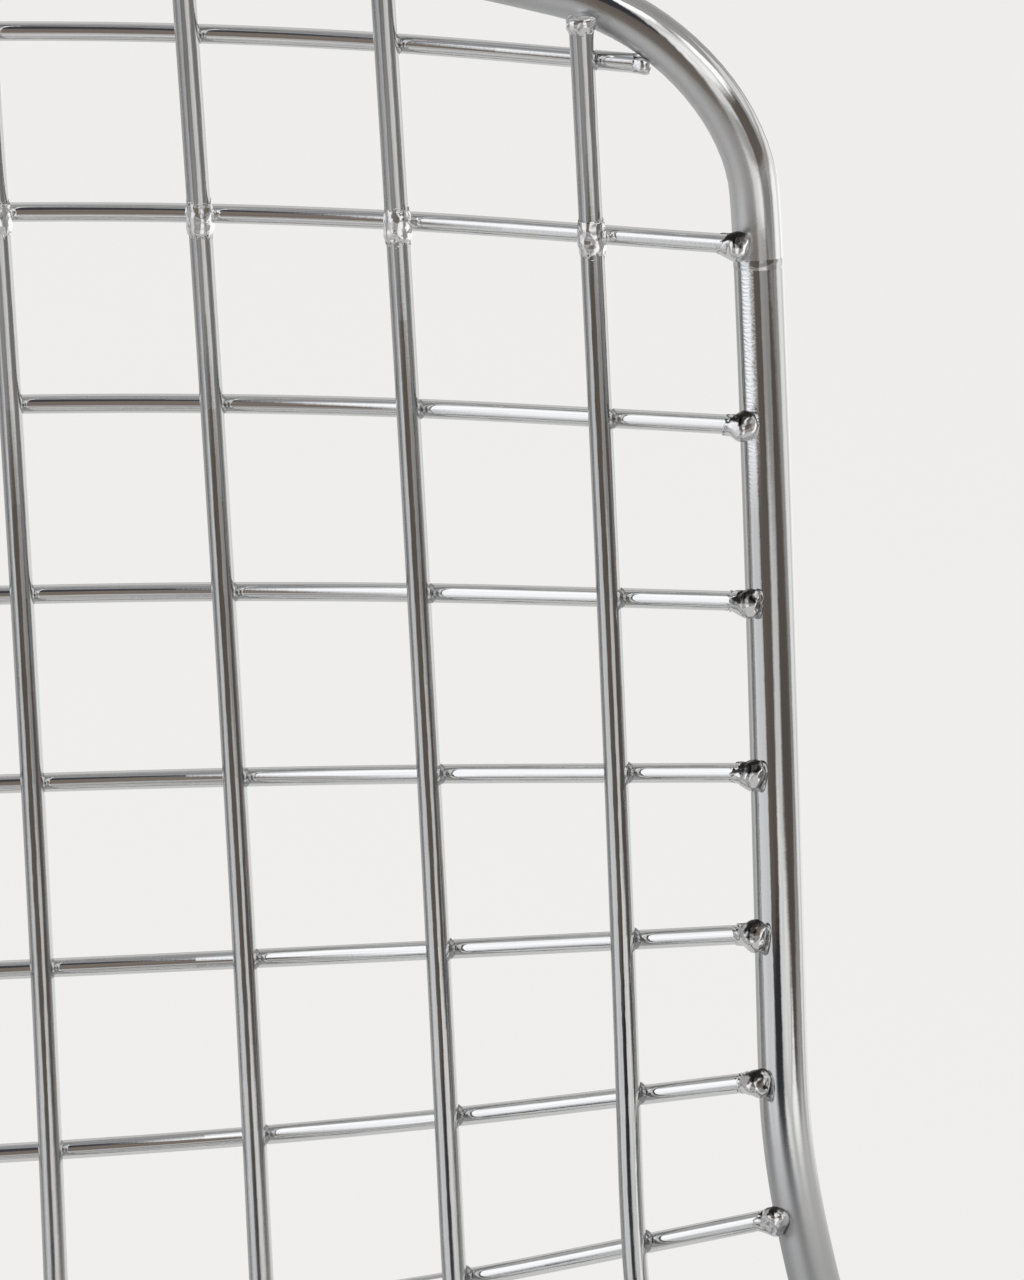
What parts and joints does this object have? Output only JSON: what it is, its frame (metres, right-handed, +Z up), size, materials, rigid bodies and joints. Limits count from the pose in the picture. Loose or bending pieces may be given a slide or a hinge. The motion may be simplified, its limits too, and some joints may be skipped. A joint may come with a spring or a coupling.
{
  "type": "bar stool",
  "caption": "Chromed wire bar stool: a mesh bucket seat and back in one sweep, edged by a thicker rim rod, on a splayed base of bent rod with a foot ring.",
  "frame": {"origin": "on the floor, under the middle of the stool's box", "axes": "+X to the right as seen from the front, the sitter faces -Y, +Z up"},
  "size_m": [0.527, 0.5369, 1.0992],
  "materials": {
    "chrome": "bright chrome plate",
    "weld": "rough weld beads under chrome plate",
    "zinc": "zinc plate",
    "pad_rubber": "matt black rubber",
    "glide_plastic": "matt black nylon"
  },
  "bodies": {
    "root": {"top_rim_bow": "chrome", "seat_rim_rod": "chrome", "long_wire_centre": "chrome", "long_wire_right_1": "chrome", "long_wire_left_1": "chrome", "long_wire_right_2": "chrome", "long_wire_left_2": "chrome", "long_wire_right_3": "chrome", "long_wire_left_3": "chrome", "long_wire_right_4": "chrome", "long_wire_left_4": "chrome", "long_wire_right_5": "chrome", "long_wire_left_5": "chrome", "top_stub_centre": "chrome", "top_stub_right_1": "chrome", "top_stub_left_1": "chrome", "top_stub_right_2": "chrome", "top_stub_left_2": "chrome", "top_stub_right_3": "chrome", "top_stub_left_3": "chrome", "top_stub_right_4": "chrome", "top_stub_left_4": "chrome", "cross_wire_01": "chrome", "cross_wire_02": "chrome", "cross_wire_03": "chrome", "cross_wire_04": "chrome", "cross_wire_05": "chrome", "cross_wire_06": "chrome", "cross_wire_07": "chrome", "cross_wire_08": "chrome", "cross_wire_09": "chrome", "cross_wire_10": "chrome", "cross_wire_11": "chrome", "cross_wire_12": "chrome", "cross_wire_13": "chrome", "cross_wire_14": "chrome", "cross_wire_15": "chrome", "cross_wire_16": "chrome", "cross_wire_17": "chrome", "side_frame_right": "chrome", "side_frame_left": "chrome", "foot_ring": "chrome", "rear_bearer": "chrome", "front_bearer": "chrome", "mesh_spot_welds": "weld", "rim_end_welds": "weld", "long_end_welds": "weld", "stub_joint_welds": "weld", "rim_joint_welds": "weld", "foot_ring_welds": "weld", "clamp_plates": "zinc", "clamp_screws": "zinc", "clamp_washers": "zinc", "lock_nuts": "zinc", "rubber_pads": "pad_rubber", "glide_front_right": "glide_plastic", "glide_front_left": "glide_plastic", "glide_rear_right": "glide_plastic", "glide_rear_left": "glide_plastic"}
  },
  "joints": []
}
